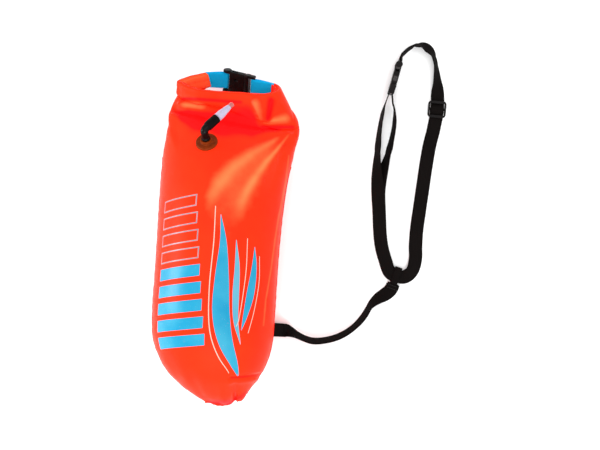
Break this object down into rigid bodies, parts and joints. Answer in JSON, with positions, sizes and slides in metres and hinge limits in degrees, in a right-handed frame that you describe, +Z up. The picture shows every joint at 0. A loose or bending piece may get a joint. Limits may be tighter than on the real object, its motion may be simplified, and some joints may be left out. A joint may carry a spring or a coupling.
{
  "type": "open water swim buoy",
  "caption": "Inflated roll-top tow bag with a dry compartment, an oral inflation valve, a webbing leash and an adjustable waist belt, lying on its back",
  "frame": {"origin": "On the resting surface, at the middle of the flat patch under the bag", "axes": "+Z up, through the printed front with the valve; +Y along the bag from the base weld to the roll-top; +X to the bag's right, where the leash and belt lie"},
  "size_m": [0.512, 0.6942, 0.2085],
  "materials": {
    "shell": "satin coated fabric, taut",
    "seam": "satin weld tape",
    "film": "thin coated film",
    "strip": "flexible strip",
    "tab_webbing": "woven webbing",
    "webbing": "woven webbing",
    "buckle": "fine moulded texture",
    "valve_base": "satin moulding",
    "valve_rubber": "soft rubber",
    "mouthpiece": "translucent satin",
    "soft_tip": "translucent soft rubber",
    "spring_steel": "drawn wire"
  },
  "bodies": {
    "bag": {"front_panel": "shell", "back_panel": "shell", "side_seam_left": "seam", "side_seam_right": "seam", "base_weld": "seam", "dry_liner": "film", "roll_top": "shell", "stiffener_front": "strip", "stiffener_back": "strip", "tab_left": "tab_webbing", "tab_right": "tab_webbing", "closure_socket": "buckle", "valve_flange": "valve_base", "valve_seal": "valve_rubber", "valve_backing": "buckle", "leash_patch": "seam", "anchor_tab": "webbing", "leash": "webbing", "leash_hitch": "webbing", "belt_main_run": "webbing", "belt_return_run": "webbing", "belt_socket": "buckle"},
    "closure_male": {"closure_clip": "buckle"},
    "closure_prong_up": {"closure_prong_upper": "buckle"},
    "closure_prong_low": {"closure_prong_lower": "buckle"},
    "valve_arm": {"valve_elbow": "buckle", "valve_sleeve": "valve_rubber", "poppet_spring": "spring_steel"},
    "mouth_tube": {"mouthpiece": "mouthpiece", "mouthpiece_tip": "soft_tip"},
    "check_poppet": {"poppet": "valve_base"},
    "tow_ring": {"anchor_ring": "buckle", "leash_loop": "webbing"},
    "belt_male": {"belt_clip": "buckle"},
    "belt_prong_up": {"belt_prong_upper": "buckle"},
    "belt_prong_low": {"belt_prong_lower": "buckle"},
    "belt_adjuster": {"belt_slider": "buckle"}
  },
  "joints": [
    {"name": "closure_clip_slide", "type": "slide", "parent": "bag", "child": "closure_male", "axis": [0.9193, -0.1847, 0.3474], "range_m": [0, 0.019], "deforming": ["tab_right", "closure_prong_upper", "closure_prong_lower"]},
    {"name": "closure_prong_squeeze", "type": "hinge", "parent": "closure_male", "child": "closure_prong_up", "pos_m": [0.02246, 0.28983, 0.0579], "axis": [-0.3935, -0.4316, 0.8117], "range_deg": [0, 8], "stiffness_Nm_per_rad": 2},
    {"name": "closure_prong_follow", "type": "hinge", "parent": "closure_male", "child": "closure_prong_low", "pos_m": [0.02246, 0.26476, 0.04457], "axis": [-0.3935, -0.4316, 0.8117], "range_deg": [-8, 0]},
    {"name": "valve_swivel", "type": "hinge", "parent": "bag", "child": "valve_arm", "pos_m": [-0.03, 0.1605, 0.16712], "axis": [-0.1439, 0.6203, 0.7711], "range_deg": [-90, 90]},
    {"name": "mouthpiece_twist", "type": "hinge", "parent": "valve_arm", "child": "mouth_tube", "pos_m": [-0.03459, 0.18029, 0.19172], "axis": [0.6188, 0.6986, -0.3593], "range_deg": [0, 90]},
    {"name": "poppet_press", "type": "slide", "parent": "valve_arm", "child": "check_poppet", "axis": [-0.6188, -0.6986, 0.3593], "range_m": [0, 0.0025], "stiffness_N_per_m": 150, "springref_m": -0.001, "deforming": ["poppet_spring"]},
    {"name": "anchor_ring_swing", "type": "hinge", "parent": "bag", "child": "tow_ring", "pos_m": [0.09279, -0.17, 0.01999], "axis": [0, -1, 0], "range_deg": [-8, 20], "deforming": ["leash"]},
    {"name": "belt_clip_slide", "type": "slide", "parent": "bag", "child": "belt_male", "axis": [-0.199, -0.98, 0], "range_m": [0, 0.019], "deforming": ["belt_main_run", "belt_return_run", "belt_prong_upper", "belt_prong_lower"]},
    {"name": "belt_prong_squeeze", "type": "hinge", "parent": "belt_male", "child": "belt_prong_up", "pos_m": [0.29777, 0.30347, 0.031], "axis": [-0.98, 0.199, 0], "range_deg": [0, 8], "stiffness_Nm_per_rad": 2},
    {"name": "belt_prong_follow", "type": "hinge", "parent": "belt_male", "child": "belt_prong_low", "pos_m": [0.29777, 0.30347, 0.0076], "axis": [-0.98, 0.199, 0], "range_deg": [-8, 0]},
    {"name": "belt_adjust", "type": "slide", "parent": "bag", "child": "belt_adjuster", "axis": [-0.0175, -0.9998, 0], "range_m": [-0.015, 0.015], "deforming": ["belt_main_run", "belt_return_run"]}
  ],
  "couplings": [
    {"joint": "closure_prong_follow", "follows": "closure_prong_squeeze", "ratio": -1},
    {"joint": "belt_prong_follow", "follows": "belt_prong_squeeze", "ratio": -1}
  ]
}
